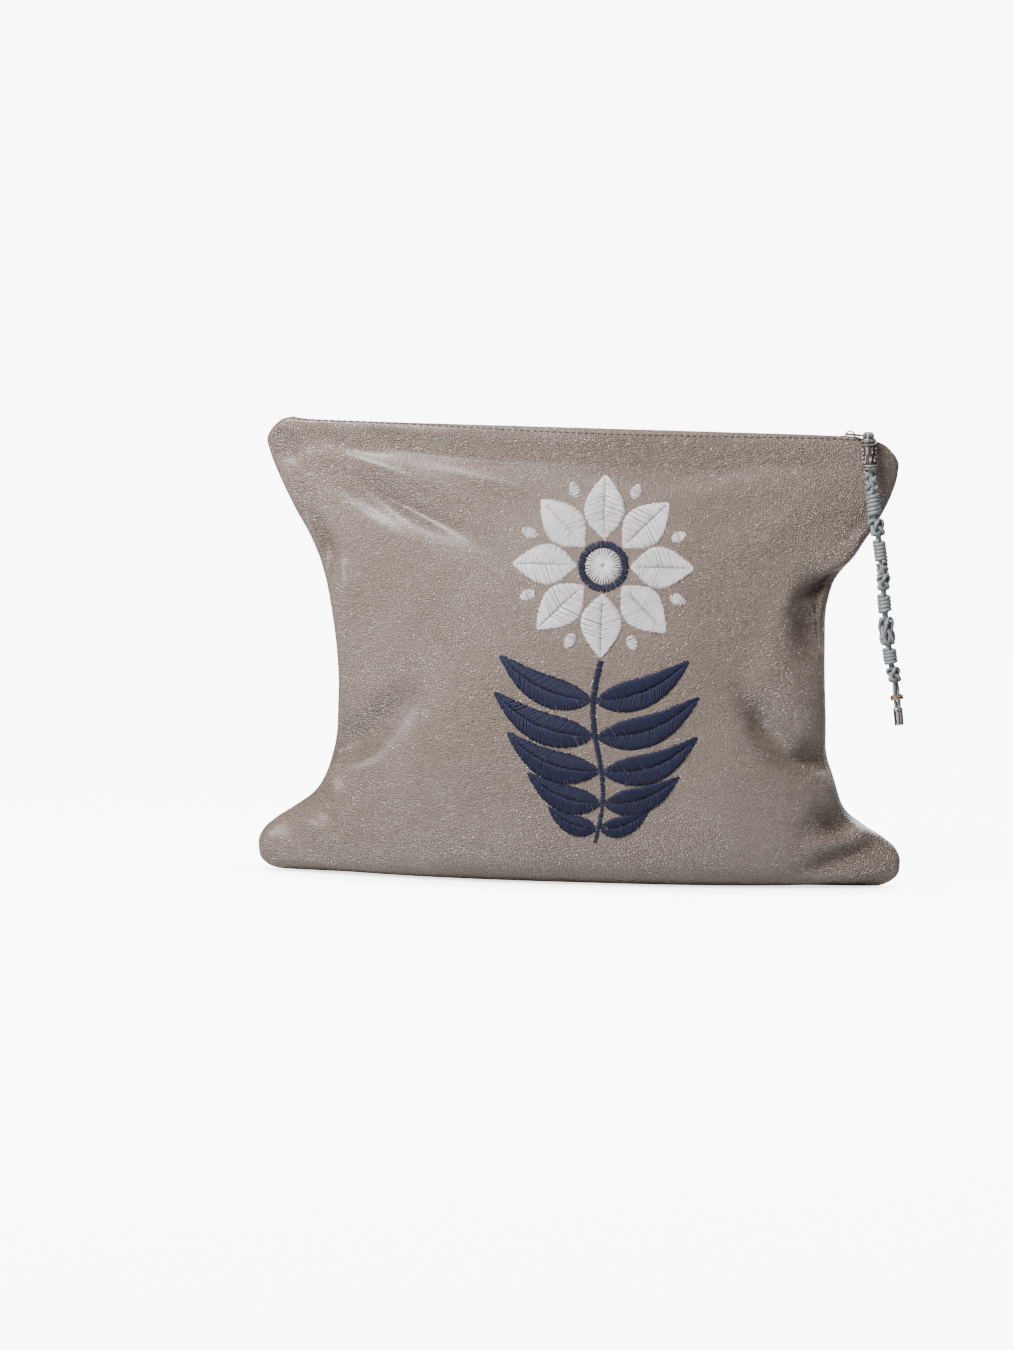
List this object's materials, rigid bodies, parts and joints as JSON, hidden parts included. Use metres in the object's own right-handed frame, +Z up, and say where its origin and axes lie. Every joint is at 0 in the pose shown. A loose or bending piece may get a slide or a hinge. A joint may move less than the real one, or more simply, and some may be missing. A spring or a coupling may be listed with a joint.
{
  "type": "tallit bag",
  "caption": "Soft zipped leather pouch for a prayer shawl, standing filled, with pulled-in sides, flared corners and a knotted cord zip pull.",
  "frame": {"origin": "middle of the base, on the surface that the bag stands on", "axes": "+X to the right seen from the front, +Y to the back, +Z up; the front with the cord pull faces -Y"},
  "size_m": [0.367, 0.0863, 0.26],
  "materials": {
    "leather": "soft satin, fine pebble grain",
    "zip_tape": "woven",
    "nickel": "polished nickel",
    "cord": "round waxed leather cord",
    "oxidised_silver": "oxidised silver, bright on the raised parts",
    "copper": "polished copper",
    "embroidery_white": "satin stitch",
    "embroidery_navy": "satin stitch",
    "topstitch": "sewing thread"
  },
  "bodies": {
    "root": {"front_panel": "leather", "back_panel": "leather", "zip_tape_front": "zip_tape", "zip_tape_back": "zip_tape", "zip_chain": "nickel", "zip_stop": "nickel", "zip_slider": "nickel", "zip_puller": "nickel", "pull_loop": "cord", "pull_bead": "oxidised_silver", "pull_cord": "cord", "pull_ring": "copper", "pull_cap": "oxidised_silver"}
  },
  "joints": []
}
